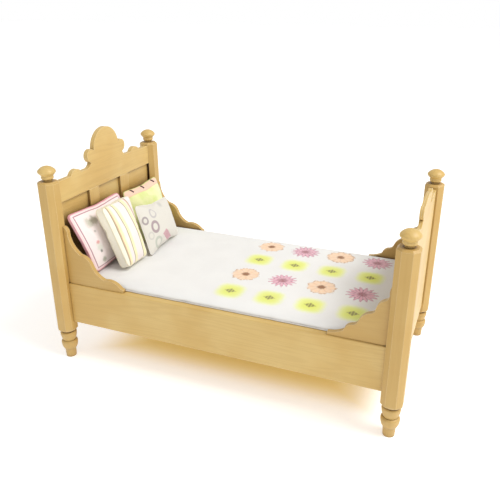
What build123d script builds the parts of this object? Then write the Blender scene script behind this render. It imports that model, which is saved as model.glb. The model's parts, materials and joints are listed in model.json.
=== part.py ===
"""Miniature four poster bed, a dolls' house piece at one twelfth of real size.

Millimetres. The origin is on the floor under the middle of the bed, +X runs from the headboard
to the footboard and +Z is up. Seen from the foot, -Y is the bed's left and +Y is its right.
"""

import os
from math import radians, sin

from build123d import *

os.makedirs("parts", exist_ok=True)

HEAD, FOOT = -1, 1
LEFT, RIGHT = -1, 1

# ---- posts: a square with cut corners on a turned foot
post_spacing_x = 160.0
post_spacing_y = 86.4
post_size = 8.9
post_corner = 2.3
post_bevel = 0.8
turned_height = 15.9
post_top = {HEAD: 91.2, FOOT: 84.2}
groove_depth = 1.5

# ---- finials: a flattened knob on a narrow neck, with a peg into the post
knob_radius = 4.05
knob_widest = 4.4
knob_height = 7.0
neck_radius = 1.9
peg_radius = 1.3
peg_length = 4.0

# ---- side rails, and the scalloped wings that stand on them
rail_bottom = 20.2
rail_top = 41.0
rail_outside = 43.5
rail_thickness = 4.0
tenon_length = 3.0
tenon_thickness = 1.8
tenon_height = 13.0
wing_setback = 0.7
wing_thickness = 2.2

# ---- end boards: a thin back board with a frame of rails and muntins laid on its inner face
back_thickness = 0.9
frame_thickness = {HEAD: 1.4, FOOT: 0.8}
head_inner_x = -77.9
foot_inner_x = 79.6
shoulder = {HEAD: 90.0, FOOT: 82.3}
opening_top = {HEAD: 79.9, FOOT: 72.6}
opening_bottom = 47.0
muntin_centre = 13.4
muntin_width = 7.6

# ---- crest outline, measured from the middle of the board and up from its shoulder
bump_inner, bump_outer, bump_rise = 21.6, 29.6, 2.4
cove_end = 17.2
notch = {HEAD: (13.6, 2.7), FOOT: (13.6, 2.2)}
lobe_tip = {HEAD: (16.1, 6.3), FOOT: (15.9, 4.8)}
arch_foot = {HEAD: (10.6, 8.2), FOOT: (11.0, 7.0)}
arch_side = {HEAD: (7.5, 14.8), FOOT: (6.0, 8.3)}
arch_rise = {HEAD: 17.9, FOOT: 8.8}

# ---- mattress support: two ledges and a loose-fitting board
ledge_width = 3.0
ledge_height = 3.0
base_thickness = 1.5
base_top = 26.5

# ---- bedding
bed_fit = 0.4
bed_corner = 5.0
cover_half_width = 40.2
cover_corner = 7.0
mattress_top = 41.0
cover_top = 44.7
cover_gap = 0.3
pillow_gap = 0.3
pillow_corner = 2.2
crown_taper = 55


post_half = post_size / 2
axis_y = post_spacing_y / 2
inner_y = axis_y - post_half
inner_x = post_spacing_x / 2 - post_half
board_half = inner_y + groove_depth
inner_face = {HEAD: head_inner_x, FOOT: foot_inner_x}
well_half_width = rail_outside - rail_thickness


def board_span(end):
    """Lowest and highest X of the headboard or footboard."""
    return sorted((inner_face[end], outer_face(end)))


def outer_face(end):
    """X of the plain outer face of the headboard or footboard."""
    return inner_face[end] + end * (back_thickness + frame_thickness[end])


def tenon_centre(side):
    """Y of the middle of a rail's tenon, inside both the rail and the post's flat."""
    return side * (rail_outside - rail_thickness / 2 + 0.8)


# ------------------------------------------------------------------ posts and finials


def make_post(end, side):
    """A post with its turned foot, the board's groove, the rail's mortise and the peg hole."""
    x = end * post_spacing_x / 2
    y = side * axis_y
    low_x, high_x = board_span(end)
    with BuildPart() as post:
        with BuildSketch(Plane((x, y, turned_height))) as section:
            Rectangle(post_size, post_size)
            chamfer(section.vertices(), post_corner)
        extrude(amount=post_top[end] - turned_height)
        chamfer(post.faces().sort_by(Axis.Z)[-1].edges(), post_bevel)
        with BuildSketch(Plane((x, y, 0), x_dir=(1, 0, 0), z_dir=(0, -1, 0))):
            with BuildLine():
                Polyline((0, turned_height), (0, 0), (2.5, 0), (2.7, 4.1))
                ThreePointArc((2.7, 4.1), (3.6, 5.7), (3.95, 7.9))
                ThreePointArc((3.95, 7.9), (3.75, 8.9), (3.0, 9.3))
                ThreePointArc((3.0, 9.3), (3.6, 10.9), (3.95, 13.0))
                ThreePointArc((3.95, 13.0), (3.75, 14.0), (3.1, 14.4))
                Polyline((3.1, 14.4), (3.1, 14.9), (4.3, 15.3), (4.3, turned_height), (0, turned_height))
            make_face()
        revolve(axis=Axis((x, y, 0), (0, 0, 1)))
        with Locations(((low_x + high_x) / 2, side * (inner_y + groove_depth / 2), rail_bottom)):
            Box(
                high_x - low_x,
                groove_depth,
                shoulder[end] - rail_bottom,
                align=(Align.CENTER, Align.CENTER, Align.MIN),
                mode=Mode.SUBTRACT,
            )
        mortise_x = end * (inner_x + tenon_length / 2)
        with Locations((mortise_x, tenon_centre(side), (rail_bottom + rail_top) / 2)):
            Box(tenon_length, tenon_thickness, tenon_height, mode=Mode.SUBTRACT)
        with Locations((x, y, post_top[end] - peg_length)):
            Cylinder(
                peg_radius,
                peg_length,
                align=(Align.CENTER, Align.CENTER, Align.MIN),
                mode=Mode.SUBTRACT,
            )
    return post.part


def make_finial(end, side):
    """A turned knob that stands on a post by its peg."""
    x = end * post_spacing_x / 2
    y = side * axis_y
    with BuildPart() as finial:
        with BuildSketch(Plane((x, y, post_top[end]), x_dir=(1, 0, 0), z_dir=(0, -1, 0))):
            with BuildLine():
                Polyline((0, knob_height), (0, -peg_length), (peg_radius, -peg_length), (peg_radius, 0))
                Polyline((peg_radius, 0), (neck_radius, 0), (neck_radius, 0.8))
                ThreePointArc((neck_radius, 0.8), (2.8, 1.6), (2.6, 2.5))
                Line((2.6, 2.5), (3.7, 3.7))
                ThreePointArc((3.7, 3.7), (knob_radius, knob_widest), (3.9, 5.0))
                TangentArc((0, knob_height), (3.9, 5.0), tangent=(1, 0))
            make_face()
        revolve(axis=Axis((x, y, 0), (0, 0, 1)))
    return finial.part


# ------------------------------------------------------------------ end boards


def board_sketch(end, bottom):
    """The outline of an end board from a level bottom edge up to its carved crest."""
    base = shoulder[end]

    def up(point):
        return (point[0], base + point[1])

    bump_middle = (bump_inner + bump_outer) / 2
    with BuildSketch() as outline:
        with BuildLine():
            Polyline((0, bottom), (board_half, bottom), (board_half, base), (bump_outer, base))
            ThreePointArc((bump_outer, base), (bump_middle, base + bump_rise), (bump_inner, base + 0.3))
            Line((bump_inner, base + 0.3), (cove_end, base + 0.4))
            ThreePointArc((cove_end, base + 0.4), (cove_end - 2.3, base + 1.0), up(notch[end]))
            ThreePointArc(up(notch[end]), up(lobe_tip[end]), up(arch_foot[end]))
            ThreePointArc(up(arch_foot[end]), up(arch_side[end]), (0, base + arch_rise[end]))
            mirror(about=Plane.YZ)
        make_face()
    return outline.sketch


def make_back_board(end):
    """The thin board behind the frame, which shows as the sunk panels."""
    with BuildPart() as board:
        with BuildSketch(Plane((outer_face(end), 0, 0), x_dir=(0, 1, 0), z_dir=(1, 0, 0))):
            add(board_sketch(end, rail_bottom))
        extrude(amount=-end * back_thickness)
    return board.part


def make_crest_rail(end):
    """The shaped top rail of the frame."""
    with BuildPart() as rail:
        with BuildSketch(Plane((inner_face[end], 0, 0), x_dir=(0, 1, 0), z_dir=(1, 0, 0))):
            add(board_sketch(end, opening_top[end]))
        extrude(amount=end * frame_thickness[end])
    return rail.part


def make_frame_strip(end, low_y, high_y, low_z, high_z):
    """A straight member of the frame: a muntin or the bottom rail."""
    middle = ((low_y + high_y) / 2, (low_z + high_z) / 2)
    with BuildPart() as strip:
        with BuildSketch(Plane((inner_face[end], 0, 0), x_dir=(0, 1, 0), z_dir=(1, 0, 0))):
            with Locations(middle):
                Rectangle(high_y - low_y, high_z - low_z)
        extrude(amount=end * frame_thickness[end])
    return strip.part


# ------------------------------------------------------------------ side rails, wings and support


def make_side_rail(side):
    """A side rail with a tenon at each end."""
    middle = (0, side * (rail_outside - rail_thickness / 2), (rail_bottom + rail_top) / 2)
    with BuildPart() as rail:
        with Locations(middle):
            Box(2 * inner_x, rail_thickness, rail_top - rail_bottom)
        top_edge = rail.edges().filter_by(Axis.X).group_by(Axis.Z)[-1].sort_by(Axis.Y)
        fillet(top_edge[-1] if side == RIGHT else top_edge[0], 0.5)
        with Locations((0, tenon_centre(side), middle[2])):
            Box(2 * (inner_x + tenon_length), tenon_thickness, tenon_height)
    return rail.part


def head_wing_line():
    """Scallops of the longer wing, out from the post and up from the rail."""
    Polyline((0, 0), (0, 28.7))
    ThreePointArc((0, 28.7), (1.6, 27.6), (2.2, 25.4))
    ThreePointArc((2.2, 25.4), (3.7, 20.0), (8.0, 15.4))
    ThreePointArc((8.0, 15.4), (11.6, 13.9), (13.7, 10.8))
    ThreePointArc((13.7, 10.8), (15.9, 7.2), (20.0, 4.6))
    ThreePointArc((20.0, 4.6), (25.2, 4.3), (28.6, 1.9))
    Polyline((28.6, 1.9), (30.0, 1.2), (30.0, 0), (0, 0))


def foot_wing_line():
    """Scallops of the shorter wing, out from the post and up from the rail."""
    Polyline((0, 0), (0, 26.4))
    ThreePointArc((0, 26.4), (0.8, 24.3), (0.7, 21.7))
    ThreePointArc((0.7, 21.7), (1.3, 20.4), (2.3, 19.6))
    ThreePointArc((2.3, 19.6), (4.7, 17.6), (5.7, 14.6))
    ThreePointArc((5.7, 14.6), (6.6, 13.5), (7.9, 13.0))
    ThreePointArc((7.9, 13.0), (10.7, 11.0), (12.0, 8.6))
    ThreePointArc((12.0, 8.6), (13.0, 7.2), (14.7, 6.6))
    ThreePointArc((14.7, 6.6), (16.9, 5.0), (17.6, 3.4))
    ThreePointArc((17.6, 3.4), (20.5, 2.0), (24.2, 1.3))
    Polyline((24.2, 1.3), (24.2, 0), (0, 0))


def make_wing(end, side):
    """A scalloped bracket in the corner between a post and a rail."""
    outside = side * (rail_outside - wing_setback)
    corner = (end * inner_x, outside, rail_top)
    with BuildPart() as wing:
        with BuildSketch(Plane(corner, x_dir=(-end, 0, 0), z_dir=(0, end, 0))):
            with BuildLine():
                if end == HEAD:
                    head_wing_line()
                else:
                    foot_wing_line()
            make_face()
        extrude(amount=-side * end * wing_thickness)
    return wing.part


def make_ledge(side):
    """The strip inside a side rail that carries the base board."""
    y = side * (rail_outside - rail_thickness - ledge_width / 2)
    with BuildPart() as ledge:
        with Locations((0, y, base_top - base_thickness)):
            Box(
                2 * inner_x - 4,
                ledge_width,
                ledge_height,
                align=(Align.CENTER, Align.CENTER, Align.MAX),
            )
    return ledge.part


def rounded_slab(bottom, top, gap, half_width, corner, edge_radius):
    """A slab that reaches from headboard to footboard, less a gap at each."""
    length = foot_inner_x - head_inner_x - 2 * gap
    with BuildPart() as slab:
        with BuildSketch(Plane(((foot_inner_x + head_inner_x) / 2, 0, bottom))):
            RectangleRounded(length, 2 * half_width, corner)
        extrude(amount=top - bottom)
        if edge_radius > 0:
            fillet(slab.faces().sort_by(Axis.Z)[-1].edges(), edge_radius)
    return slab.part


# ------------------------------------------------------------------ pillows


def make_pillow(foot_x, middle_y, corners, wall, crown, lean, turn):
    """A pillow that stands on its lower edge and leans back towards the headboard.

    Its corners are across and up on the plane halfway through it, from bottom left anticlockwise.
    The wall is the straight part of its thickness, and each face is crowned beyond that.
    """
    bottom = cover_top + pillow_gap + wall / 2 * sin(radians(lean))
    standing = Location((foot_x, middle_y, bottom), (0, 0, turn))
    leaning = Location((0, 0, 0), (0, -lean, 0))
    middle_plane = Plane(standing * leaning * Plane.YZ.location)
    with BuildPart() as pillow:
        for side in (-1, 1):
            with BuildSketch(middle_plane) as outline:
                with BuildLine():
                    Polyline(*corners, close=True)
                make_face()
                fillet(outline.vertices(), pillow_corner)
            extrude(amount=side * wall / 2)
            with BuildSketch(middle_plane.offset(side * wall / 2)) as outline:
                with BuildLine():
                    Polyline(*corners, close=True)
                make_face()
                fillet(outline.vertices(), pillow_corner)
            extrude(amount=side * crown, taper=crown_taper)
    return pillow.part


# ------------------------------------------------------------------ the whole bed


def save(name, part):
    """Label a finished piece and write it under its own name."""
    part.label = name
    export_step(part, f"parts/{name}.step")


ends = {HEAD: "head", FOOT: "foot"}
sides = {LEFT: "left", RIGHT: "right"}

for end, end_name in ends.items():
    for side, side_name in sides.items():
        save(f"{end_name}_post_{side_name}", make_post(end, side))
        save(f"{end_name}_finial_{side_name}", make_finial(end, side))
        save(f"{end_name}_wing_{side_name}", make_wing(end, side))

for end, end_name in ends.items():
    save(f"{end_name}board_back", make_back_board(end))
    save(f"{end_name}board_crest_rail", make_crest_rail(end))
    bottom_rail = make_frame_strip(end, -board_half, board_half, rail_bottom, opening_bottom)
    save(f"{end_name}board_bottom_rail", bottom_rail)
    for side, side_name in sides.items():
        middle = side * muntin_centre
        low_y, high_y = middle - muntin_width / 2, middle + muntin_width / 2
        muntin = make_frame_strip(end, low_y, high_y, opening_bottom, opening_top[end])
        save(f"{end_name}board_muntin_{side_name}", muntin)

for side, side_name in sides.items():
    save(f"side_rail_{side_name}", make_side_rail(side))
    save(f"ledge_{side_name}", make_ledge(side))

base = rounded_slab(base_top - base_thickness, base_top, 0.1, well_half_width - 0.1, bed_corner, 0)
save("base_board", base)
mattress_half_width = well_half_width - bed_fit
mattress = rounded_slab(base_top + 0.1, mattress_top, bed_fit, mattress_half_width, bed_corner, 1.5)
save("mattress", mattress)
cover_bottom = mattress_top + cover_gap
coverlet = rounded_slab(cover_bottom, cover_top, bed_fit, cover_half_width, cover_corner, 1.5)
save("coverlet", coverlet)

pink_corners = [(-17.0, 0), (19.8, 0), (20.6, 29.8), (-20.2, 30.2)]
green_corners = [(-16.4, 0), (17.9, 0), (17.0, 29.0), (-16.4, 29.0)]
striped_corners = [(-7.4, 0), (9.6, 0), (14.6, 31.2), (-8.6, 31.2)]
ringed_corners = [(-18.3, 0), (15.4, 0), (18.4, 21.2), (-13.8, 26.3)]
save("pillow_pink_border", make_pillow(-64.8, -18.8, pink_corners, 2.2, 2.7, 20.5, 0.0))
save("pillow_green", make_pillow(-64.5, 21.6, green_corners, 1.0, 4.1, 20.0, 0.0))
save("pillow_striped", make_pillow(-53.4, -20.6, striped_corners, 5.6, 2.6, 22.0, 0.0))
save("pillow_rings", make_pillow(-51.8, 9.6, ringed_corners, 1.0, 3.6, 22.0, 4.0))
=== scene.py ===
"""Looks of the miniature four poster bed: pine, stuffed and printed bedding, light and camera.

Metres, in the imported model's frame: +X from the headboard to the footboard, +Y to the bed's right
as seen from the foot, +Z up. The prints are laid out in millimetres on the flat cloth, before it is
stuffed.
"""

import json
import math

import bpy
import numpy as np
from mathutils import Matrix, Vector, noise

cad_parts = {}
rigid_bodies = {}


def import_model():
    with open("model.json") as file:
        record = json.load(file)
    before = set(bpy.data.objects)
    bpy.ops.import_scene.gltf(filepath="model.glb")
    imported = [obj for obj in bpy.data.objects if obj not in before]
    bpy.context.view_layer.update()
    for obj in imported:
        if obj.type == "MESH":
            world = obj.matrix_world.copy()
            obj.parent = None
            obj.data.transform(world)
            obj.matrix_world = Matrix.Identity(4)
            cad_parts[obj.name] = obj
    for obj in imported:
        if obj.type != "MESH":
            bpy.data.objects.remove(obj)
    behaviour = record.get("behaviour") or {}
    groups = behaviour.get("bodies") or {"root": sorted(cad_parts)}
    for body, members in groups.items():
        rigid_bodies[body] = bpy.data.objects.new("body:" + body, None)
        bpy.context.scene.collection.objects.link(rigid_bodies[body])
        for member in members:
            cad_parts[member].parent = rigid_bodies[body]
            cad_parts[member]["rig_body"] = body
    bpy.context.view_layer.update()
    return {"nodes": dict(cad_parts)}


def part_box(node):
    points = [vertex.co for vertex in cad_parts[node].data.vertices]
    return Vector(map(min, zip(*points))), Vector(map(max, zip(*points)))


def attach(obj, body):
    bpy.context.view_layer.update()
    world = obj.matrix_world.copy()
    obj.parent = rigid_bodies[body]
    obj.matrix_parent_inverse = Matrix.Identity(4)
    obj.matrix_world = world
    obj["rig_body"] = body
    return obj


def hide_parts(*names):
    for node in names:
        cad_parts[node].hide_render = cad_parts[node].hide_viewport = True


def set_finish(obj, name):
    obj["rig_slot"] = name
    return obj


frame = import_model()
nodes = frame["nodes"]

MM = 0.001


def srgb(red, green, blue):
    """A colour given as 0 to 255 screen values, as the linear values a shader takes."""
    share = [value / 255 for value in (red, green, blue)]
    return tuple(c / 12.92 if c <= 0.04045 else ((c + 0.055) / 1.055) ** 2.4 for c in share)


# ------------------------------------------------------------------ shader building


class Shader:
    """A material built by calls. Each input is a number, a colour or another node's output."""

    def __init__(self, name, roughness, coat=0.0, sheen=0.0):
        self.material = bpy.data.materials.new(name)
        self.material.use_nodes = True
        self.tree = self.material.node_tree
        self.surface = self.tree.nodes["Principled BSDF"]
        self.surface.inputs["Roughness"].default_value = roughness
        self.surface.inputs["Coat Weight"].default_value = coat
        self.surface.inputs["Coat Roughness"].default_value = 0.35
        self.surface.inputs["Sheen Weight"].default_value = sheen
        self.surface.inputs["Sheen Roughness"].default_value = 0.5

    def feed(self, socket, value):
        """Link a socket to a node's output, or set it to a number or a colour."""
        if isinstance(value, bpy.types.NodeSocket):
            self.tree.links.new(value, socket)
        elif socket.type == "RGBA":
            socket.default_value = (*value, 1.0)
        else:
            socket.default_value = value

    def node(self, kind, **inputs):
        """A new node with inputs given by name, and _ for a space."""
        made = self.tree.nodes.new("ShaderNode" + kind)
        for name, value in inputs.items():
            self.feed(made.inputs[name.replace("_", " ")], value)
        return made

    def math(self, operation, *values):
        made = self.node("Math")
        made.operation = operation
        for socket, value in zip(made.inputs, values):
            self.feed(socket, value)
        return made.outputs[0]

    def vector(self, operation, *values):
        """A vector math node. Its result is a number or a vector, so the node itself is returned."""
        made = self.node("VectorMath")
        made.operation = operation
        for socket, value in zip(made.inputs, values):
            self.feed(socket, value)
        return made

    def mix(self, share, under, over):
        """The colour under where share is 0, and over where it is 1."""
        made = self.node("Mix")
        made.data_type = "RGBA"
        self.feed(made.inputs["Factor"], share)
        self.feed(made.inputs[6], under)
        self.feed(made.inputs[7], over)
        return made.outputs[2]

    def ramp(self, value, low, high, start=0.0, end=1.0):
        """A smooth change from start to end as value goes from low to high."""
        made = self.node("MapRange")
        made.interpolation_type = "SMOOTHSTEP"
        for socket, given in zip(made.inputs, (value, low, high, start, end)):
            self.feed(socket, given)
        return made.outputs[0]

    def noise(self, place, scale, detail=2.0, roughness=0.5, distortion=0.0):
        inputs = {"Scale": scale, "Detail": detail, "Roughness": roughness, "Distortion": distortion}
        return self.node("TexNoise", Vector=place, **inputs).outputs[0]

    def place_mm(self, stretch=(1.0, 1.0, 1.0), shift=0.0):
        """Place on the object in millimetres, squeezed along an axis where stretch is below 1."""
        coordinates = self.node("TexCoord").outputs["Object"]
        made = self.node("Mapping", Vector=coordinates)
        made.inputs["Scale"].default_value = [s / MM for s in stretch]
        made.inputs["Location"].default_value = (shift, shift, shift)
        return made.outputs[0]

    def cut_mm(self):
        """Place on the flat cloth: across, up, and which panel (front above 0, back below 0)."""
        attribute = self.node("Attribute")
        attribute.attribute_name = "cut"
        made = self.node("SeparateXYZ", Vector=attribute.outputs["Vector"])
        return made.outputs[0], made.outputs[1], made.outputs[2]

    def finish(self, colour, height, depth, normal=None):
        """Link the colour and a bump of the given depth, over a normal if one is given."""
        self.feed(self.surface.inputs["Base Color"], colour)
        bump = self.node("Bump", Strength=1.0, Distance=depth, Height=height)
        if normal is not None:
            self.feed(bump.inputs["Normal"], normal)
        self.feed(self.surface.inputs["Normal"], bump.outputs[0])
        return self.material


# ------------------------------------------------------------------ pine

PINE_LIGHT = srgb(214, 184, 116)
PINE_MIDDLE = srgb(205, 169, 96)
PINE_DARK = srgb(172, 132, 64)
PINE_SHADE = srgb(184, 146, 78)
# painted shade in inner corners, joints and recesses, with some stain gathered there
PINE_CREVICE_STAIN_AND_SHADE = srgb(104, 66, 24)
# painted shade in deep gaps, such as behind the pillows
PINE_GAP_SHADE = srgb(74, 36, 20)
# edge colour: partly wear, partly a painted highlight
PINE_WORN_AND_HIGHLIGHT = srgb(240, 218, 172)

GRAIN_SQUEEZE = 0.06
RING_DENSITY = 0.14
RING_WAVES = 74.0
RING_SHARE = 0.13
FIBRE_DENSITY = 2.6
FIBRE_SHARE = 0.17
BLOTCH_DENSITY = 0.045
EDGE_RADIUS = 0.36 * MM
WORN_AND_HIGHLIGHT_SHARE = 0.75
CREVICE_SHADE_REACH = 1.7 * MM
GAP_SHADE_REACH = 13.0 * MM
GAP_SHADE_SHARE = 0.9
PORE_DEPTH = 0.035 * MM


def pine(name, grain, shift, tone, crevice_stain_and_shade):
    """Satin pine with worn edges that carry a painted highlight, stain and painted shade in inner
    corners, and painted shade in deep gaps.

    grain is the axis, 0, 1 or 2, that the grain runs along, and shift moves the figure so that no
    two kinds of piece match. tone is the share of PINE_SHADE, and the last argument sets how dark the
    stain and painted shade in inner corners are.
    """
    shader = Shader(name, roughness=0.45, coat=0.08)
    along = [1.0, 1.0, 1.0]
    along[grain] = GRAIN_SQUEEZE
    place = shader.place_mm(along, shift)
    rings = shader.noise(place, RING_DENSITY, detail=1.5, distortion=0.5)
    ring_line = shader.math("SINE", shader.math("MULTIPLY", rings, RING_WAVES))
    ring_share = shader.ramp(ring_line, -0.2, 1.0, 0.0, RING_SHARE)
    fibre = shader.noise(place, FIBRE_DENSITY, detail=5.0, roughness=0.7)
    blotch = shader.noise(shader.place_mm(shift=shift), BLOTCH_DENSITY, detail=2.0)

    colour = shader.mix(shader.ramp(blotch, 0.3, 0.7), PINE_LIGHT, PINE_MIDDLE)
    colour = shader.mix(ring_share, colour, PINE_DARK)
    colour = shader.mix(shader.ramp(fibre, 0.45, 0.8, 0.0, FIBRE_SHARE), colour, PINE_DARK)
    colour = shader.mix(tone, colour, PINE_SHADE)

    rounded = shader.node("Bevel", Radius=EDGE_RADIUS)
    rounded.samples = 6
    flat = shader.node("NewGeometry").outputs["Normal"]
    flatness = shader.vector("DOT_PRODUCT", rounded.outputs[0], flat).outputs["Value"]
    edge = shader.ramp(flatness, 0.99, 0.9)
    corner = shader.node("AmbientOcclusion", Distance=CREVICE_SHADE_REACH)
    corner.samples = 8
    open_share = corner.outputs["AO"]
    # open edges lighten, partly as wear and partly as a painted highlight
    worn = shader.math("MULTIPLY", edge, shader.ramp(open_share, 0.55, 0.9, 0.0, WORN_AND_HIGHLIGHT_SHARE))
    colour = shader.mix(worn, colour, PINE_WORN_AND_HIGHLIGHT)
    # painted shade, with some gathered stain: inner corners, joints and recesses darken
    colour = shader.mix(shader.ramp(open_share, 0.7, 0.2, 0.0, crevice_stain_and_shade), colour, PINE_CREVICE_STAIN_AND_SHADE)
    # painted shade: deep gaps, such as behind the pillows, darken to a dark brown
    gap_shade = shader.node("AmbientOcclusion", Distance=GAP_SHADE_REACH)
    gap_shade.samples = 8
    colour = shader.mix(shader.ramp(gap_shade.outputs["AO"], 0.56, 0.2, 0.0, GAP_SHADE_SHARE), colour, PINE_GAP_SHADE)

    pores = shader.math("ADD", shader.math("MULTIPLY", ring_line, 0.2), fibre)
    return shader.finish(colour, pores, PORE_DEPTH, rounded.outputs[0])


def dress_wood():
    """Give every wooden node pine with the grain running the way that piece was cut."""
    # material, grain axis, shift, tone, darkness of crevice stain and painted shade, and words in the
    # names of its nodes
    kinds = [
        ("pine_post", 2, 3.0, 0.5, 1.0, ("post",)),
        ("pine_finial", 2, 11.0, 0.0, 0.9, ("finial",)),
        ("pine_rail", 0, 27.0, 0.06, 0.35, ("side_rail", "ledge")),
        ("pine_wing", 0, 41.0, 0.55, 1.0, ("wing",)),
        ("pine_crest", 1, 58.0, 0.0, 0.9, ("crest_rail", "bottom_rail")),
        ("pine_muntin", 2, 73.0, 0.1, 1.0, ("muntin",)),
        ("pine_panel", 1, 90.0, 0.0, 0.45, ("board_back", "base_board")),
    ]
    for material_name, grain, shift, tone, crevice_stain_and_shade, words in kinds:
        material = pine(material_name, grain, shift, tone, crevice_stain_and_shade)
        for name, node in nodes.items():
            if any(word in name for word in words):
                node.data.materials.clear()
                node.data.materials.append(material)


# ------------------------------------------------------------------ stuffed pieces

CLOTH_SCALE = 12.0
CLOTH_FRAMES = 20
START_CROWN_BOXED = 0.4
START_CROWN_FLAT = 0.3


class Panels:
    """Two panels of cloth sewn together all round, or joined by a wall, then stuffed.

    axes are across, up and out, and the front panel faces out. size is along them, wall is the
    depth of the wall, and corners are across and up of the front, from bottom left anticlockwise.
    """

    def __init__(self, name, middle, axes, size, corner, cell, wall=0.0, corners=None):
        self.middle = np.array(middle)
        self.axes = np.array([list(axis) for axis in axes])
        self.size = size
        half = (size[0] / 2, size[1] / 2)
        signs = ((-1, -1), (1, -1), (1, 1), (-1, 1))
        square = [(right * half[0], top * half[1]) for right, top in signs]
        self.corners = np.array(corners or square)
        self.corner = corner
        self.columns = 2 * round(size[0] / cell / 2)
        self.rows = 2 * round(size[1] / cell / 2)
        self.points, self.cuts, self.faces = [], [], []
        self.index = {1: {}, -1: {}}
        self.outline = self.outline_keys()
        crown = (size[2] - wall) * (START_CROWN_BOXED if wall else START_CROWN_FLAT)
        for side in (1, -1):
            self.add_panel(side, crown, wall)
        if wall:
            self.add_wall(max(2, round(wall / cell)))
        mesh = bpy.data.meshes.new(name)
        mesh.from_pydata((np.array(self.points) @ self.axes + self.middle).tolist(), [], self.faces)
        cut = mesh.attributes.new("cut", "FLOAT_VECTOR", "POINT")
        cut.data.foreach_set("vector", np.array(self.cuts, np.float32).ravel())
        mesh.shade_smooth()
        self.object = bpy.data.objects.new(name, mesh)
        bpy.context.scene.collection.objects.link(self.object)

    def outline_keys(self):
        """Grid places round the edge, in order."""
        columns, rows = self.columns, self.rows
        keys = [(i, 0) for i in range(columns)]
        keys += [(columns, j) for j in range(rows)]
        keys += [(i, rows) for i in range(columns, 0, -1)]
        return keys + [(0, j) for j in range(rows, 0, -1)]

    def flat_place(self, i, j):
        """Place of a grid point on the flat cloth, with the corner cells drawn in to an arc."""
        half = (self.size[0] / 2, self.size[1] / 2)
        x = (2 * i / self.columns - 1) * half[0]
        y = (2 * j / self.rows - 1) * half[1]
        over_x = (abs(x) - half[0] + self.corner) / self.corner
        over_y = (abs(y) - half[1] + self.corner) / self.corner
        if over_x > 0 and over_y > 0:
            round_x = over_x * math.sqrt(1 - over_y**2 / 2)
            round_y = over_y * math.sqrt(1 - over_x**2 / 2)
            x = math.copysign(half[0] - self.corner + round_x * self.corner, x)
            y = math.copysign(half[1] - self.corner + round_y * self.corner, y)
        return x, y

    def sheared(self, x, y):
        """Where a place on the square-cut cloth lies inside the piece's own four corners."""
        s, t = x / self.size[0] + 0.5, y / self.size[1] + 0.5
        shares = np.array([(1 - s) * (1 - t), s * (1 - t), s * t, (1 - s) * t])
        return shares @ self.corners

    def add_panel(self, side, crown, wall):
        """Front (side 1) or back (side -1), domed by crown to start with."""
        edge = set(self.outline)
        for i in range(self.columns + 1):
            for j in range(self.rows + 1):
                if (i, j) in edge and side == -1 and not wall:
                    self.index[side][i, j] = self.index[1][i, j]
                    continue
                x, y = self.flat_place(i, j)
                s, t = 2 * i / self.columns - 1, 2 * j / self.rows - 1
                rise = wall / 2 + crown * ((1 - s**4) * (1 - t**4)) ** 0.5
                self.index[side][i, j] = len(self.points)
                self.points.append((*self.sheared(x, y), side * rise))
                self.cuts.append((x / MM, y / MM, 0 if (i, j) in edge and not wall else side))
        for i in range(self.columns):
            for j in range(self.rows):
                keys = [(i, j), (i + 1, j), (i + 1, j + 1), (i, j + 1)]
                self.faces.append([self.index[side][key] for key in keys[::side]])

    def add_wall(self, wall_rows):
        """The strip that joins the edges of the front and the back."""
        levels = [[self.index[-1][key] for key in self.outline]]
        for level in range(1, wall_rows):
            share = level / wall_rows
            ring = []
            for low, high in zip(levels[0], [self.index[1][key] for key in self.outline]):
                point = np.array(self.points[low]) * (1 - share) + np.array(self.points[high]) * share
                ring.append(len(self.points))
                self.points.append(tuple(point))
                self.cuts.append((*self.cuts[low][:2], 2 * share - 1))
            levels.append(ring)
        levels.append([self.index[1][key] for key in self.outline])
        count = len(self.outline)
        for low, high in zip(levels, levels[1:]):
            for k in range(count):
                following = (k + 1) % count
                self.faces.append([low[k], low[following], high[following], high[k]])

    def read(self):
        """Points in the piece's own axes, from its middle."""
        mesh = self.object.data
        points = np.empty(len(mesh.vertices) * 3)
        mesh.vertices.foreach_get("co", points)
        return (points.reshape(-1, 3) - self.middle) @ self.axes.T

    def write(self, points):
        """Put the mesh's points where these are in the piece's own axes."""
        mesh = self.object.data
        mesh.vertices.foreach_set("co", (points @ self.axes + self.middle).ravel())
        mesh.update()

    def stuff(self, pressure, cap, loose=0.0, give=1.0):
        """Blow the cloth up at full bed scale, where cloth behaves, and keep its final form.

        loose is how much larger than its starting shape the cloth is, which is what wrinkles it.
        give is how far the filling lets the seams be drawn in.
        """
        start = self.read()
        self.write(start * CLOTH_SCALE)
        modifier = self.object.modifiers.new("stuffing", "CLOTH")
        settings = modifier.settings
        settings.quality = 6
        settings.mass = 0.25
        settings.tension_stiffness = 25
        settings.compression_stiffness = 12
        settings.shear_stiffness = 6
        settings.bending_stiffness = 0.4
        settings.shrink_min = -loose
        settings.use_pressure = True
        settings.uniform_pressure_force = pressure
        settings.effector_weights.gravity = 0
        modifier.point_cache.frame_start = 1
        modifier.point_cache.frame_end = CLOTH_FRAMES
        scene = bpy.context.scene
        for step in range(1, CLOTH_FRAMES + 1):
            scene.frame_set(step)
        evaluated = self.object.evaluated_get(bpy.context.evaluated_depsgraph_get())
        stuffed = bpy.data.meshes.new_from_object(evaluated)
        self.object.modifiers.clear()
        self.object.data = stuffed
        scene.frame_set(1)
        travel = self.read() / CLOTH_SCALE - start
        travel[:, :2] *= give
        length = np.linalg.norm(travel, axis=1, keepdims=True)
        self.write(start + travel * np.minimum(1, cap / np.maximum(length, 1e-9)))

    def fit(self, size):
        """Scale to a size in the piece's own axes, about its middle."""
        points = self.read()
        low, high = points.min(0), points.max(0)
        self.write((points - (low + high) / 2) * np.array(size) / (high - low))

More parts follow.
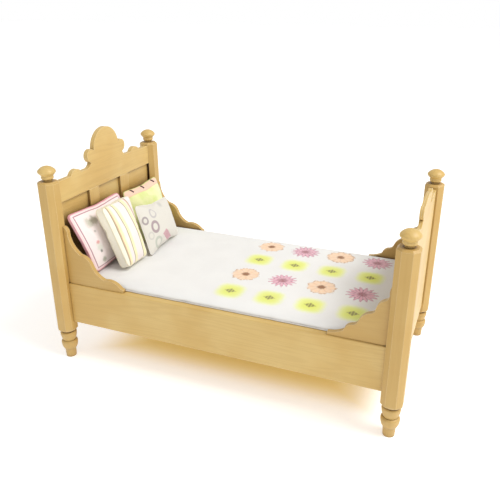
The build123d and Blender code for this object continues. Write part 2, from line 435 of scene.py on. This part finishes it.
    def at(self, x, y, side):
        """Point in the row frame of a place on the flat cloth, for sewing something on."""
        i = (x / self.size[0] + 0.5) * self.columns
        j = (y / self.size[1] + 0.5) * self.rows
        left, low = min(int(i), self.columns - 1), min(int(j), self.rows - 1)
        total = Vector((0, 0, 0))
        for di in (0, 1):
            for dj in (0, 1):
                weight = abs(1 - di - (i - left)) * abs(1 - dj - (j - low))
                total += weight * self.surface[self.index[side][left + di, low + dj]]
        return total

    def seam(self, side=1):
        """Points of the edge seam, in order."""
        return [self.surface[self.index[side][key]] for key in self.outline]

    def done(self, body, node, slot, material):
        """Smooth the piece, and tell the frame what it is and what it stands for."""
        piece = self.object
        piece.data.materials.clear()
        piece.data.materials.append(material)
        smooth = piece.modifiers.new("smooth", "SUBSURF")
        smooth.levels = smooth.render_levels = 1
        smoothed = piece.evaluated_get(bpy.context.evaluated_depsgraph_get()).data
        own_points = smoothed.vertices[: len(piece.data.vertices)]
        self.surface = [vertex.co.copy() for vertex in own_points]
        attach(piece, body)
        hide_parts(node)
        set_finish(piece, slot)
        return piece


def tube(name, path, radius, material, parent, closed=False, sides=8):
    """A thread or piping swept along a path, riding with the piece it is sewn to."""
    count = len(path)
    points, faces = [], []
    normal = Vector((0.3, 0.2, 0.93))
    for k, point in enumerate(path):
        before = path[(k - 1) % count] if closed or k else point
        after = path[(k + 1) % count] if closed or k < count - 1 else point
        ahead = (after - before).normalized()
        normal = (normal - ahead * normal.dot(ahead)).normalized()
        beside = ahead.cross(normal)
        for side in range(sides):
            angle = 2 * math.pi * side / sides
            points.append(point + radius * (math.cos(angle) * normal + math.sin(angle) * beside))
    for k in range(count if closed else count - 1):
        here, there = k * sides, (k + 1) % count * sides
        for side in range(sides):
            other = (side + 1) % sides
            faces.append([here + side, here + other, there + other, there + side])
    if not closed:
        faces.append(list(range(sides))[::-1])
        faces.append([(count - 1) * sides + side for side in range(sides)])
    mesh = bpy.data.meshes.new(name)
    mesh.from_pydata(points, [], faces)
    mesh.shade_smooth()
    mesh.materials.append(material)
    piece = bpy.data.objects.new(name, mesh)
    bpy.context.scene.collection.objects.link(piece)
    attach(piece, parent["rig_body"])
    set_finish(piece, parent["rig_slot"])
    return piece


# ------------------------------------------------------------------ cloth and prints

COTTON = srgb(238, 237, 234)


class Print(Shader):
    """Woven cotton with shapes printed on it, placed in millimetres on the flat cloth."""

    def __init__(self, name, ground, width, height, walled=False):
        super().__init__(name, roughness=0.85, sheen=0.15)
        self.x, self.y, self.side = self.cut_mm()
        self.half = (width / 2, height / 2)
        self.colour = ground
        self.front = self.math("GREATER_THAN", self.side, 0.97 if walled else 0.02)
        from_middle = self.math("ABSOLUTE", self.side)
        self.wall = self.math("LESS_THAN", from_middle, 0.97 if walled else 0.0)

    def lay(self, mask, colour, strength=1.0):
        """Print a colour where mask is 1, thinned by the weave."""
        self.colour = self.mix(self.math("MULTIPLY", mask, strength), self.colour, colour)

    def band(self, value, centre, width, soft=0.12):
        """Mask of a stripe where value is near centre."""
        off = self.math("ABSOLUTE", self.math("SUBTRACT", value, centre))
        return self.ramp(off, width / 2 + soft, width / 2 - soft)

    def distance(self, x, y):
        """Distance from a place on the flat cloth."""
        over = self.math("SUBTRACT", self.x, x)
        up = self.math("SUBTRACT", self.y, y)
        squares = self.math("MULTIPLY_ADD", over, over, self.math("MULTIPLY", up, up))
        return self.math("SQRT", squares)

    def disc(self, x, y, radius, soft=0.2):
        """Mask of a filled circle."""
        return self.ramp(self.distance(x, y), radius + soft, radius - soft)

    def ring(self, x, y, radius, width):
        """Mask of a circle's line."""
        return self.band(self.distance(x, y), radius, width, 0.25)

    def slanted(self, x, y, along, across):
        """Size of the distance from a place, measured as along times x plus across times y."""
        over = self.math("MULTIPLY", self.math("SUBTRACT", self.x, x), along)
        up = self.math("MULTIPLY", self.math("SUBTRACT", self.y, y), across)
        return self.math("ABSOLUTE", self.math("ADD", over, up))

    def lozenge(self, x, y, first, second):
        """Mask of a lozenge round a place, given by its two half diagonals."""
        spread = first[0] * second[1] - first[1] * second[0]
        along = self.slanted(x, y, second[1] / spread, -second[0] / spread)
        across = self.slanted(x, y, -first[1] / spread, first[0] / spread)
        return self.ramp(self.math("ADD", along, across), 1.1, 0.92)

    def only_front(self, mask):
        """The mask on the front panel alone."""
        return self.math("MULTIPLY", mask, self.front)

    def woven(self, pitch=0.42):
        """Close the material with a plain weave and a little uneven tone."""
        warp = self.math("SINE", self.math("MULTIPLY", self.x, 2 * math.pi / pitch))
        weft = self.math("SINE", self.math("MULTIPLY", self.y, 2 * math.pi / pitch))
        weave = self.math("MULTIPLY", warp, weft)
        slub = self.noise(self.place_mm(), 0.8, detail=3.0)
        tone = self.ramp(self.noise(self.place_mm(), 0.09, detail=2.0), 0.3, 0.75, 0.0, 0.10)
        colour = self.mix(tone, self.colour, srgb(206, 202, 198))
        colour = self.mix(self.ramp(weave, -1.0, 0.2, 0.06, 0.0), colour, srgb(120, 112, 104))
        height = self.math("MULTIPLY_ADD", slub, 1.5, self.math("MULTIPLY", weave, 0.5))
        return self.finish(colour, height, 0.05 * MM)


def plain_cotton(name, colour):
    """Cotton for piping and thread, which has no flat cloth to print on."""
    shader = Shader(name, roughness=0.8, sheen=0.15)
    place = shader.place_mm()
    twist = shader.noise(place, 2.4, detail=3.0, roughness=0.7)
    worn = shader.ramp(shader.noise(place, 0.5), 0.35, 0.7, 0.0, 0.25)
    shade = tuple(value * 0.72 for value in colour)
    tinted = shader.mix(worn, colour, shade)
    tinted = shader.mix(shader.ramp(twist, 0.4, 0.8, 0.0, 0.3), tinted, shade)
    return shader.finish(tinted, twist, 0.06 * MM)


# ------------------------------------------------------------------ pillows

PILLOW_CORNER = 2.2 * MM
PILLOW_CELL = 0.85 * MM
PILLOW_SWELL = 1.04
PIPING_RADIUS = 0.26 * MM
SHARP_CORNER = 1.06
# a pillow whose edge is thinner than this is sewn without a wall
LEAST_WALL = 1.5 * MM


def pillow_place(node):
    """Middle, axes, size, corners and wall of a pillow, read from its plain solid."""
    mesh = nodes[node].data
    facing_foot = [polygon for polygon in mesh.polygons if polygon.normal.x > 0]
    out = max(facing_foot, key=lambda polygon: polygon.area).normal.normalized()
    across = Vector((0, 0, 1)).cross(out).normalized()
    axes = (across, out.cross(across), out)
    to_own_axes = np.array([list(axis) for axis in axes]).T
    places = np.array([list(vertex.co) for vertex in mesh.vertices]) @ to_own_axes
    low, high = places.min(0), places.max(0)
    centre = (low + high) / 2
    places -= centre
    size = (high - low).tolist()
    corners = []
    for right, top in ((-1, -1), (1, -1), (1, 1), (-1, 1)):
        reach = places[:, 0] * right / size[0] + places[:, 1] * top / size[1]
        corners.append(places[reach.argmax(), :2] * SHARP_CORNER)
    at_edge = places[places[:, 0] > size[0] * 0.35]
    at_edge = at_edge[at_edge[:, 0] > at_edge[:, 0].max() - 0.0001]
    wall = at_edge[:, 2].max() - at_edge[:, 2].min()
    middle = sum((axis * value for axis, value in zip(axes, centre)), Vector())
    return middle, axes, size, corners, wall


def make_pillow(node, material, slot, place, give):
    """Sew, stuff and fit a pillow to its place."""
    middle, axes, size, corners, wall = place
    depth = wall if wall > LEAST_WALL else 0.0
    name = node + "_cushion"
    pillow = Panels(name, middle, axes, size, PILLOW_CORNER, PILLOW_CELL, depth, corners)
    pillow.stuff(pressure=4.0, cap=6.0 * MM, loose=0.02, give=give)
    pillow.fit((size[0], size[1], size[2] * PILLOW_SWELL))
    pillow.done(node, node, slot, material)
    return pillow


def pink_border_print(size):
    """White cloth with pink frame lines and a loose scatter of grey and red blots."""
    p = Print("cloth_pink_border", srgb(246, 234, 232), *size, walled=True)
    beside = p.math("SUBTRACT", p.half[0] - 2.0, p.math("ABSOLUTE", p.x))
    above = p.math("SUBTRACT", p.half[1] - 1.6, p.math("ABSOLUTE", p.y))
    inward = p.math("MINIMUM", beside, above)
    p.lay(p.only_front(p.band(inward, 0.0, 0.55)), srgb(176, 112, 128), 0.85)
    p.lay(p.only_front(p.band(inward, -1.1, 0.9)), srgb(250, 214, 212), 0.7)
    p.lay(p.wall, srgb(240, 196, 200), 0.85)
    wobble = p.noise(p.place_mm(), 0.55, detail=4.0, roughness=0.65)
    # across, up, radius, colour, strength
    blots = [
        (-12.0, 8.2, 2.4, srgb(176, 178, 152), 0.7),
        (-8.6, 8.4, 2.6, srgb(150, 148, 120), 0.75),
        (-11.6, 3.4, 0.7, srgb(160, 158, 150), 0.6),
        (-12.9, -2.0, 1.1, srgb(222, 130, 126), 0.85),
        (-12.9, -4.4, 2.2, srgb(204, 212, 194), 0.6),
        (-12.8, -6.6, 0.8, srgb(104, 106, 100), 0.85),
        (-12.4, -11.0, 1.6, srgb(138, 144, 112), 0.7),
        (2.5, 7.5, 2.4, srgb(150, 156, 128), 0.7),
        (1.8, -0.8, 1.1, srgb(222, 122, 120), 0.85),
        (4.2, -7.8, 1.8, srgb(140, 150, 118), 0.7),
        (9.6, 5.2, 0.9, srgb(104, 106, 100), 0.85),
        (10.4, -3.4, 2.3, srgb(160, 164, 140), 0.7),
    ]
    for x, y, radius, colour, strength in blots:
        reach = p.math("ADD", p.distance(x, y), p.math("MULTIPLY", wobble, radius * 1.4))
        p.lay(p.only_front(p.ramp(reach, radius * 2.1, radius * 1.0)), colour, strength)
    return p.woven()


# centre and width at the middle of the front, and colour
STRIPES = [
    (-9.0, 0.5, srgb(150, 138, 74)),
    (-8.5, 0.35, srgb(216, 150, 104)),
    (-4.2, 0.5, srgb(148, 140, 72)),
    (3.9, 0.55, srgb(140, 134, 62)),
    (8.2, 0.6, srgb(218, 142, 94)),
    (8.9, 0.5, srgb(146, 150, 62)),
]
YELLOW_BANDS = ((-7.7, 1.6), (-3.0, 1.9), (5.6, 2.6))
STRIPE_FAN = 0.011


def striped_print(size):
    """Cream cloth with olive, orange and yellow stripes that draw together up the front."""
    p = Print("cloth_striped", srgb(252, 247, 228), *size, walled=True)
    from_first = p.math("SUBTRACT", p.x, STRIPES[0][0])
    x = p.math("MULTIPLY_ADD", p.math("MULTIPLY", from_first, STRIPE_FAN), p.y, p.x)
    p.lay(p.only_front(p.ramp(x, -9.4, -8.8)), srgb(246, 234, 232))
    for centre, width in YELLOW_BANDS:
        p.lay(p.only_front(p.band(x, centre, width, 0.4)), srgb(248, 242, 186), 0.9)
    for centre, width, colour in STRIPES:
        p.lay(p.only_front(p.band(x, centre, width)), colour, 0.9)
    return p.woven()


def ringed_print(size):
    """Off-white cloth with loose rings, a pink lozenge and two dots."""
    p = Print("cloth_ringed", srgb(224, 220, 210), *size)
    # across, up, radius, width of the line, colour, strength
    rings = [
        (-7.4, 6.7, 2.3, 1.0, srgb(192, 186, 186), 0.85),
        (-14.8, 4.4, 1.7, 1.0, srgb(158, 146, 150), 0.85),
        (-9.2, -0.4, 2.6, 1.5, srgb(164, 142, 148), 0.9),
        (-14.0, -3.8, 1.7, 0.8, srgb(204, 200, 192), 0.8),
        (-9.6, -8.8, 2.6, 1.4, srgb(190, 194, 180), 0.9),
    ]
    for x, y, radius, width, colour, strength in rings:
        p.lay(p.only_front(p.ring(x, y, radius, width)), colour, strength)
    lozenge = p.lozenge(0.6, -8.6, (5.6, -2.7), (-1.7, 4.4))
    p.lay(p.only_front(lozenge), srgb(206, 152, 164), 0.9)
    p.lay(p.only_front(p.disc(-9.8, -12.4, 0.6, 0.4)), srgb(120, 118, 112), 0.9)
    p.lay(p.only_front(p.disc(5.4, 10.4, 1.9, 1.2)), srgb(200, 198, 190), 0.8)
    return p.woven()


GREEN_BAND = 3.8
STITCHES = (-10.8, -0.4, 10.9)
STITCH_SLANT = 0.9 * MM
STITCH_DEPTH = GREEN_BAND * 0.62 * MM
STITCH_RISE = 0.7
STITCH_RADIUS = 0.5 * MM


def green_print(size):
    """Yellow-green cloth with a peach band along the top."""
    p = Print("cloth_green", srgb(222, 232, 146), *size)
    fade = p.noise(p.place_mm(), 0.16, detail=2.0)
    p.lay(p.ramp(fade, 0.35, 0.65), srgb(240, 240, 186), 0.75)
    p.lay(p.ramp(p.x, -2.0, p.half[0]), srgb(234, 244, 206), 0.7)
    below_top = p.math("SUBTRACT", p.half[1], p.y)
    p.lay(p.ramp(below_top, GREEN_BAND + 0.15, GREEN_BAND - 0.15), srgb(246, 206, 184))
    p.lay(p.band(below_top, GREEN_BAND, 0.35), srgb(236, 186, 156), 0.6)
    return p.woven()


def make_pillows():
    """The four pillows with their piping, and the stitches on the green one."""
    piping = {
        "pillow_pink_border": plain_cotton("piping_pink", srgb(222, 156, 168)),
        "pillow_striped": plain_cotton("piping_cream", srgb(226, 218, 190)),
        "pillow_rings": plain_cotton("piping_white", srgb(232, 228, 222)),
        "pillow_green": plain_cotton("piping_green", srgb(206, 214, 140)),
    }
    # node, print, slot, give of the seams, fill
    kinds = [
        ("pillow_pink_border", pink_border_print, "pillow_pink_cotton", 0.15, 0.7),
        ("pillow_striped", striped_print, "pillow_striped_cotton", 0.25, 0.85),
        ("pillow_rings", ringed_print, "pillow_ringed_cotton", 0.3, 0.6),
        ("pillow_green", green_print, "pillow_green_cotton", 0.25, 0.6),
    ]
    made = {}
    for node, cloth, slot, give, fill in kinds:
        place = pillow_place(node)
        size = place[2]
        material = cloth((size[0] / MM, size[1] / MM))
        pillow = make_pillow(node, material, slot, place, give)
        boxed = place[4] > LEAST_WALL
        seams = {"_piping_front": 1, "_piping_back": -1} if boxed else {"_piping": 1}
        for ending, side in seams.items():
            path = pillow.seam(side)
            tube(node + ending, path, PIPING_RADIUS, piping[node], pillow.object, closed=True)
        made[node] = pillow
    sew_green_band(made["pillow_green"])


def sew_green_band(pillow):
    """Dark slanting stitches over the band along the green pillow's top edge."""
    thread = plain_cotton("thread_dark", srgb(70, 40, 44))
    top = pillow.size[1] / 2
    for number, x in enumerate(STITCHES):
        path = []
        for side, shares in ((1, (0.0, 0.25, 0.5, 0.75, 1.0)), (-1, (0.75, 0.5))):
            for share in shares:
                y = top - (1 - share * STITCH_RISE) * STITCH_DEPTH
                path.append(pillow.at(x * MM + side * (1 - share) * STITCH_SLANT, y, side))
        name = f"pillow_green_stitch_{number + 1}"
        tube(name, path, STITCH_RADIUS, thread, pillow.object)


# ------------------------------------------------------------------ mattress and coverlet

BED_AXES = ((1, 0, 0), (0, 1, 0), (0, 0, 1))

FLOWER_COLUMNS = 4
FLOWER_ROWS = 4
FLOWER_PITCH = (18.8, 18.4)
FIRST_FLOWER = (1.2, 27.5)

TICKING_PITCH = 5.0
MATTRESS_CORNER = 5.0 * MM
MATTRESS_CELL = 2.2 * MM
MATTRESS_CROWN = 1.6 * MM
CORD_RADIUS = 0.45 * MM

COVERLET_CORNER = 7.0 * MM
COVERLET_CELL = 1.6 * MM
HEM_REACH = 5.0 * MM
HEM_DROP = 1.7
HEM_OVERHANG = 0.6
HEM_SETTLES = 1.6
HEM_CORD_OUT = 0.12 * MM
HEM_RADIUS = 0.3 * MM
PUCKER_LENGTH = 4.6 * MM
PUCKER_PULL = 0.7
PUCKER_LIFT = 0.5
SWELL_LENGTHS = (24 * MM, 18 * MM)
SWELL_HEIGHT = 0.22 * MM


def middle_and_size(node):
    """Middle and size of a plain solid's box."""
    low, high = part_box(node)
    return (low + high) / 2, list(high - low)


def make_mattress():
    """A boxed mattress in striped ticking, piped along both edges."""
    middle, size = middle_and_size("mattress")
    p = Print("cloth_ticking", srgb(236, 230, 214), size[0] / MM, size[1] / MM, walled=True)
    phase = p.math("WRAP", p.y, 0.0, TICKING_PITCH)
    for centre, width, strength in ((2.5, 0.9, 0.7), (1.4, 0.25, 0.6), (3.6, 0.25, 0.6)):
        p.lay(p.band(phase, centre, width), srgb(140, 152, 176), strength)
    wall = size[2] - MATTRESS_CROWN
    shape = (size, MATTRESS_CORNER, MATTRESS_CELL, wall)
    mattress = Panels("mattress_pad", middle, BED_AXES, *shape)
    mattress.stuff(pressure=2.0, cap=0.8 * MM)
    mattress.fit(size)
    piece = mattress.done("mattress", "mattress", "mattress_ticking", p.woven())
    cord = plain_cotton("piping_ticking", srgb(196, 200, 208))
    tube("mattress_piping_top", mattress.seam(1), CORD_RADIUS, cord, piece, closed=True)
    tube("mattress_piping_bottom", mattress.seam(-1), CORD_RADIUS, cord, piece, closed=True)


def flower(p, place, radius, petals, depth, soft):
    """Mask of a flower with cosine petals, the petals' wave, and distance from the centre."""
    x, y, turn = place
    distance = p.math("SQRT", p.math("MULTIPLY_ADD", x, x, p.math("MULTIPLY", y, y)))
    angle = p.math("ADD", p.math("ARCTAN2", y, x), turn)
    wave = p.math("MULTIPLY_ADD", p.math("COSINE", p.math("MULTIPLY", angle, petals)), 0.5, 0.5)
    edge = p.math("MULTIPLY", radius, p.math("MULTIPLY_ADD", wave, depth, 1 - depth))
    inside = p.math("SUBTRACT", edge, distance)
    return p.ramp(inside, -soft, soft), wave, distance


def flower_grid(p):
    """For each place on the cloth: where it lies in its flower's cell, and the flower's turn and
    size, which differ from cell to cell. The last value has the mask of each kind of flower.
    """
    left = FIRST_FLOWER[0] - FLOWER_PITCH[0] / 2
    top = FIRST_FLOWER[1] + FLOWER_PITCH[1] / 2
    column = p.math("DIVIDE", p.math("SUBTRACT", p.x, left), FLOWER_PITCH[0])
    row = p.math("DIVIDE", p.math("SUBTRACT", top, p.y), FLOWER_PITCH[1])
    column_number, row_number = p.math("FLOOR", column), p.math("FLOOR", row)
    x = p.math("MULTIPLY", p.math("SUBTRACT", p.math("FRACT", column), 0.5), FLOWER_PITCH[0])
    y = p.math("MULTIPLY", p.math("SUBTRACT", 0.5, p.math("FRACT", row)), FLOWER_PITCH[1])
    cell = p.node("CombineXYZ", X=column_number, Y=row_number)
    chance = p.node("TexWhiteNoise", Vector=cell.outputs[0])
    luck = p.node("SeparateXYZ", Vector=chance.outputs["Color"])
    turn = p.math("MULTIPLY", luck.outputs[0], 6.0)
    size = p.ramp(luck.outputs[1], 0.0, 1.0, 0.94, 1.06)

    in_columns = p.math("COMPARE", column_number, (FLOWER_COLUMNS - 1) / 2, FLOWER_COLUMNS / 2)
    in_rows = p.math("COMPARE", row_number, (FLOWER_ROWS - 1) / 2, FLOWER_ROWS / 2)
    in_grid = p.only_front(p.math("MULTIPLY", in_columns, in_rows))
    odd_row = p.math("MODULO", row_number, 2.0)
    odd_column = p.math("MODULO", column_number, 2.0)
    daisy_row = p.math("MULTIPLY", in_grid, p.math("SUBTRACT", 1.0, odd_row))
    kinds = {
        "pink": p.math("MULTIPLY", daisy_row, odd_column),
        "orange": p.math("MULTIPLY", daisy_row, p.math("SUBTRACT", 1.0, odd_column)),
        "green": p.math("MULTIPLY", in_grid, odd_row),
    }
    return (x, y, turn), size, kinds


def lay_pink_flowers(p, place, reach, ragged, rub, kind):
    """Pink daisies with streaked petals and a dark pink centre."""
    mask, wave, distance = flower(p, place, reach, petals=15.0, depth=0.3, soft=0.3)
    streak = p.math("MULTIPLY", p.ramp(wave, 0.6, 0.1), p.ramp(ragged, 0.4, 0.6, 0.2, 1.0))
    petal = p.mix(p.math("MULTIPLY", streak, 0.8), srgb(232, 164, 184), srgb(150, 100, 120))
    petal = p.mix(p.ramp(distance, 4.2, 7.0, 0.0, 0.5), petal, srgb(172, 134, 152))
    petal = p.mix(p.ramp(distance, 3.0, 1.0), petal, srgb(158, 58, 84))
    p.lay(p.math("MULTIPLY", p.math("MULTIPLY", mask, rub), kind), petal, 0.95)


def lay_orange_flowers(p, place, reach, ragged, rub, kind):
    """Round pale orange flowers with a broken brown rim and a brown centre."""
    mask, wave, distance = flower(p, place, reach, petals=9.0, depth=0.1, soft=0.4)
    rim = p.math("MULTIPLY", p.ramp(distance, 5.4, 6.8), p.ramp(ragged, 0.42, 0.58))
    petal = p.mix(p.ramp(wave, 0.2, 0.0, 0.0, 0.35), srgb(250, 210, 170), srgb(214, 158, 118))
    petal = p.mix(p.math("MULTIPLY", rim, 0.75), petal, srgb(170, 128, 100))
    p.lay(p.math("MULTIPLY", p.math("MULTIPLY", mask, rub), kind), petal, 0.95)
    heart = p.math("MULTIPLY_ADD", ragged, 2.4, distance)
    p.lay(p.math("MULTIPLY", p.ramp(heart, 3.7, 2.3), kind), srgb(140, 86, 40), 0.92)


def lay_green_flowers(p, place, ragged, kind):
    """Soft squarish patches of yellow-green with a broken olive centre."""
    x, y, _ = place
    square_x = p.math("POWER", p.math("ABSOLUTE", x), 3.0)
    square_y = p.math("POWER", p.math("ABSOLUTE", y), 3.0)
    squared = p.math("POWER", p.math("ADD", square_x, square_y), 1 / 3)
    mask = p.ramp(p.math("MULTIPLY_ADD", ragged, 1.6, squared), 8.7, 5.2)
    dashes = p.math("SINE", p.math("MULTIPLY_ADD", x, 4.6, p.math("MULTIPLY", ragged, 3.0)))
    oval = p.math("ADD", p.math("ABSOLUTE", x), p.math("MULTIPLY", p.math("ABSOLUTE", y), 1.3))
    centre = p.math("MULTIPLY", p.ramp(oval, 3.3, 2.0), p.ramp(dashes, -0.9, 0.1, 0.5, 1.0))
    petal = p.mix(p.ramp(squared, 2.0, 6.5), srgb(230, 236, 104), srgb(238, 244, 158))
    petal = p.mix(p.math("MULTIPLY", centre, 0.85), petal, srgb(118, 108, 34))
    p.lay(p.math("MULTIPLY", mask, kind), petal, 0.95)


def coverlet_print(size):
    """Off-white cotton with a grid of printed flowers towards the foot."""
    p = Print("cloth_coverlet", COTTON, *size)
    place, flower_size, kinds = flower_grid(p)
    ragged = p.noise(p.place_mm(), 0.9, detail=3.0)
    rub = p.ramp(ragged, 0.3, 0.7, 0.75, 1.0)
    reach = p.math("MULTIPLY_ADD", flower_size, 7.3, -1.9)
    reach = p.math("MULTIPLY_ADD", ragged, 3.4, reach)
    lay_pink_flowers(p, place, reach, ragged, rub, kinds["pink"])
    lay_orange_flowers(p, place, reach, ragged, rub, kinds["orange"])
    lay_green_flowers(p, place, ragged, kinds["green"])
    return p.woven()


def make_coverlet():
    """A thin stuffed coverlet with a level top and a puckered hem that settles on the rails."""
    middle, size = middle_and_size("coverlet")
    shape = (size, COVERLET_CORNER, COVERLET_CELL)
    coverlet = Panels("coverlet_quilt", middle, BED_AXES, *shape)
    coverlet.stuff(pressure=1.5, cap=0.7 * MM, loose=0.01, give=0.0)
    coverlet.fit(size)
    points = coverlet.read()
    half_y = size[1] / 2
    for point in points:
        side = math.copysign(1.0, point[1])
        near_hem = max(0.0, 1 - (half_y - abs(point[1])) / HEM_REACH) ** 1.5
        pucker = max(0.0, noise.noise(Vector((point[0] / PUCKER_LENGTH, side * 3.0, 0.0))))
        swell_place = (point[0] / SWELL_LENGTHS[0], point[1] / SWELL_LENGTHS[1], 4.0)
        swell = noise.noise(Vector(swell_place))
        point[1] += side * (HEM_OVERHANG - pucker * PUCKER_PULL) * MM * near_hem
        point[2] += near_hem * (pucker * PUCKER_LIFT - HEM_DROP) * MM
        point[2] += swell * SWELL_HEIGHT * (1 - near_hem)
    points[:, 2] = np.clip(points[:, 2], -size[2] / 2, size[2] / 2)
    coverlet.write(points)
    material = coverlet_print((size[0] / MM, size[1] / MM))
    piece = coverlet.done("coverlet", "coverlet", "coverlet_cotton", material)
    hem = plain_cotton("hem_white", srgb(226, 222, 216))
    on_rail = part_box("side_rail_left")[1].z + HEM_RADIUS
    path = coverlet.seam()
    for point in path:
        over_rail = min(1.0, max(0.0, (abs(point.y) - half_y) / MM + HEM_SETTLES))
        point.z += over_rail * (on_rail - point.z)
        point.y += math.copysign(HEM_CORD_OUT * over_rail, point.y)
    tube("coverlet_hem", path, HEM_RADIUS, hem, piece, closed=True)


# ------------------------------------------------------------------ stage, light and camera

FLOOR_HALF = 4.0
# painted shadow under the bed, tinted warm as painted bounce light from the wood
FLOOR_PAINTED_SHADOW = (0.83, 0.79, 0.52)
GLOW_WARM = (1.0, 0.65, 0.15)
GLOW_WHITE = (1.0, 0.99, 0.975)
GLOW_UNDER_BED = 0.19
GLOW_GAINED = 0.28
# millimetres from the middle, along and across, over which the painted shadow under the bed fades to
# white
PAINTED_SHADOW_FADES_ALONG = (45.0, 78.0)
PAINTED_SHADOW_FADES_ACROSS = (16.0, 38.0)


def make_floor():
    """A pale floor that glows a little, with a painted shadow under the bed, where its colour is
    warmer and its glow weaker and warmer.
    """
    mesh = bpy.data.meshes.new("floor")
    signs = ((-1, -1), (1, -1), (1, 1), (-1, 1))
    corners = [(x * FLOOR_HALF, y * FLOOR_HALF, 0) for x, y in signs]
    mesh.from_pydata(corners, [], [(0, 1, 2, 3)])
    shader = Shader("stage_white", roughness=0.7)
    mottle = shader.noise(shader.place_mm(), 0.004)
    colour = shader.mix(mottle, (0.82, 0.815, 0.81), (0.84, 0.84, 0.835))
    from_middle = shader.vector("ABSOLUTE", shader.place_mm()).outputs[0]
    place = shader.node("SeparateXYZ", Vector=from_middle)
    past_end = shader.ramp(place.outputs[0], *PAINTED_SHADOW_FADES_ALONG)
    past_side = shader.ramp(place.outputs[1], *PAINTED_SHADOW_FADES_ACROSS)
    # share of the floor outside the painted shadow under the bed
    clear = shader.math("MAXIMUM", past_end, past_side)
    colour = shader.mix(clear, FLOOR_PAINTED_SHADOW, colour)
    mesh.materials.append(shader.finish(colour, mottle, 0.0001))
    inputs = shader.surface.inputs
    # the glow is weaker and warmer under the bed: painted shadow and painted warm bounce light
    shader.feed(inputs["Emission Color"], shader.mix(clear, GLOW_WARM, GLOW_WHITE))
    glow = shader.math("MULTIPLY_ADD", clear, GLOW_GAINED, GLOW_UNDER_BED)
    shader.feed(inputs["Emission Strength"], glow)
    floor = bpy.data.objects.new("floor", mesh)
    bpy.context.scene.collection.objects.link(floor)


KEY_PLACE = (0.60, -0.02, 0.85)
KEY_TARGET = (0, 0, 0.04)
KEY_SIZE = 0.5
KEY_POWER = 6.7
WORLD_LIGHT = 0.66


def add_key_light():
    """One large soft disk, high up beyond the foot of the bed."""
    lamp = bpy.data.lights.new("key", "AREA")
    lamp.shape = "DISK"
    lamp.size = KEY_SIZE
    lamp.energy = KEY_POWER
    lamp.color = GLOW_WHITE
    light = bpy.data.objects.new("key", lamp)
    bpy.context.scene.collection.objects.link(light)
    light.location = KEY_PLACE
    ahead = Vector(KEY_TARGET) - light.location
    light.rotation_euler = ahead.to_track_quat("-Z", "Y").to_euler()


def light_stage():
    """Even light from all round, a white background, and the key light."""
    world = bpy.data.worlds.new("studio")
    world.use_nodes = True
    tree = world.node_tree
    seen = tree.nodes.new("ShaderNodeLightPath").outputs["Is Camera Ray"]
    strength = tree.nodes.new("ShaderNodeMapRange")
    strength.inputs["To Min"].default_value = WORLD_LIGHT
    strength.inputs["To Max"].default_value = 1.0
    tree.links.new(seen, strength.inputs["Value"])
    tree.links.new(strength.outputs[0], tree.nodes["Background"].inputs["Strength"])
    tree.nodes["Background"].inputs["Color"].default_value = (1.0, 1.0, 1.0, 1.0)
    bpy.context.scene.world = world
    add_key_light()
    bpy.context.scene.view_settings.view_transform = "Standard"


CAMERA_PLACE = (0.0999, -0.2464, 0.1660)
CAMERA_TURN = 21.97
CAMERA_TILT = 22.98
CAMERA_LENS = 42.42


def make_camera():
    """Look down on the bed from its near side, a little from the foot."""
    lens = bpy.data.cameras.new("camera")
    lens.lens = CAMERA_LENS
    lens.sensor_width = 36.0
    lens.clip_start = 0.01
    camera = bpy.data.objects.new("camera", lens)
    bpy.context.scene.collection.objects.link(camera)
    camera.location = CAMERA_PLACE
    camera.rotation_euler = (math.radians(90 - CAMERA_TILT), 0, math.radians(CAMERA_TURN))
    bpy.context.scene.camera = camera


dress_wood()
make_mattress()
make_coverlet()
make_pillows()
make_floor()
light_stage()
make_camera()
